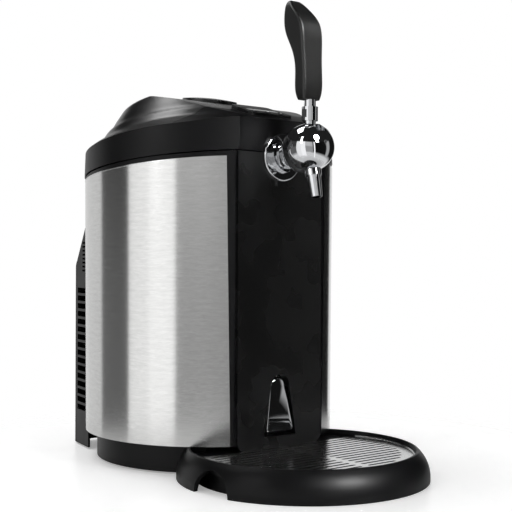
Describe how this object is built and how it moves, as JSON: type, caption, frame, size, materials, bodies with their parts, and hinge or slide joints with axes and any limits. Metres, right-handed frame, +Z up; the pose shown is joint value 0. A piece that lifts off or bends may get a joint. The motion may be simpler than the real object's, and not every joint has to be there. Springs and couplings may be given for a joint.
{
  "type": "mini keg beer dispenser",
  "caption": "Round brushed steel and black cooled cabinet for a small keg, with a hinged lid, a front tap with a black lever and a slotted round drip tray.",
  "frame": {"origin": "on the surface it stands on, under the middle of the whole machine from the tray's front to the hood's rear", "axes": "+Z up, -Y out of the front with the tap, +X to the right seen from the front"},
  "size_m": [0.2792, 0.443, 0.4835],
  "materials": {
    "black_plastic": "satin moulded",
    "gloss_black": "polished",
    "brushed_steel": "fine level brushing",
    "chrome": "mirror plated",
    "tub_aluminium": "drawn",
    "sink_aluminium": "extruded",
    "foam": "rigid foam",
    "rubber": "moulded",
    "white_ceramic": "ceramic plate",
    "screen": "smoked window",
    "hose": "milky tube",
    "steel_pin": "ground",
    "grey_plastic": "moulded"
  },
  "bodies": {
    "cabinet": {"base_plinth": "black_plastic", "rubber_feet": "rubber", "outer_shell": "black_plastic", "side_panel_left": "brushed_steel", "side_panel_right": "brushed_steel", "front_panel": "gloss_black", "drain_spout": "chrome", "rear_hood": "black_plastic", "top_ring": "black_plastic", "hinge_pin": "steel_pin", "control_pod": "black_plastic", "display_window": "screen", "keg_tub": "tub_aluminium", "insulation": "foam", "inner_collar": "black_plastic", "cold_block": "sink_aluminium", "peltier_module": "white_ceramic", "heat_sink": "sink_aluminium", "fan_frame": "black_plastic", "power_supply": "grey_plastic", "mains_inlet": "black_plastic", "tap_flange": "chrome", "tap_shank": "chrome", "shank_nut": "steel_pin", "tap_neck": "chrome", "tap_body": "chrome", "tap_cap": "chrome", "lever_pin": "steel_pin", "spout_collar": "chrome", "tap_spout": "chrome", "beer_line": "hose", "keg_coupler": "black_plastic", "base_screws": "steel_pin", "hood_screws": "steel_pin"},
    "lid": {"lid_shell": "black_plastic", "lid_liner": "foam", "lid_seal": "rubber", "knob_pedestal": "grey_plastic", "gas_regulator": "steel_pin", "cartridge_holder": "sink_aluminium"},
    "knob": {"pressure_knob": "gloss_black"},
    "lever": {"tap_lever": "chrome", "lever_collar": "chrome", "tap_handle": "black_plastic"},
    "plunger": {"valve_plunger": "steel_pin"},
    "tray": {"drip_tray": "black_plastic"},
    "plate": {"drip_plate": "brushed_steel"},
    "down_key": {"temperature_down_button": "rubber"},
    "power_key": {"power_button": "rubber"},
    "up_key": {"temperature_up_button": "rubber"},
    "rotor": {"fan_rotor": "grey_plastic"}
  },
  "joints": [
    {"name": "lid_hinge", "type": "hinge", "parent": "cabinet", "child": "lid", "pos_m": [0, 0.1957, 0.371], "axis": [-1, 0, 0], "range_deg": [0, 80]},
    {"name": "knob_turn", "type": "hinge", "parent": "lid", "child": "knob", "pos_m": [0, 0.0697, 0.3962], "axis": [0, -0.134, 0.991], "range_deg": [0, 270]},
    {"name": "lever_tilt", "type": "hinge", "parent": "cabinet", "child": "lever", "pos_m": [0, -0.10267, 0.33219], "axis": [1, 0, 0], "range_deg": [0, 35]},
    {"name": "plunger_slide", "type": "slide", "parent": "cabinet", "child": "plunger", "axis": [0, 0.9848, -0.1736], "range_m": [0, 0.004]},
    {"name": "tray_slide", "type": "slide", "parent": "cabinet", "child": "tray", "axis": [0, -1, 0], "range_m": [0, 0.12]},
    {"name": "plate_lift", "type": "slide", "parent": "tray", "child": "plate", "axis": [0, 0, 1], "range_m": [0, 0.06]},
    {"name": "temperature_down_press", "type": "slide", "parent": "cabinet", "child": "down_key", "axis": [0, 0.3134, -0.9496], "range_m": [0, 0.0008], "stiffness_N_per_m": 250, "springref_m": -0.0005},
    {"name": "power_press", "type": "slide", "parent": "cabinet", "child": "power_key", "axis": [0, 0.3134, -0.9496], "range_m": [0, 0.0008], "stiffness_N_per_m": 250, "springref_m": -0.0005},
    {"name": "temperature_up_press", "type": "slide", "parent": "cabinet", "child": "up_key", "axis": [0, 0.3134, -0.9496], "range_m": [0, 0.0008], "stiffness_N_per_m": 250, "springref_m": -0.0005},
    {"name": "fan_spin", "type": "hinge", "parent": "cabinet", "child": "rotor", "pos_m": [0, 0.2097, 0.155], "axis": [0, 1, 0], "continuous": true}
  ],
  "couplings": [
    {"joint": "plunger_slide", "follows": "lever_tilt", "m_per_rad": 0.0062}
  ]
}
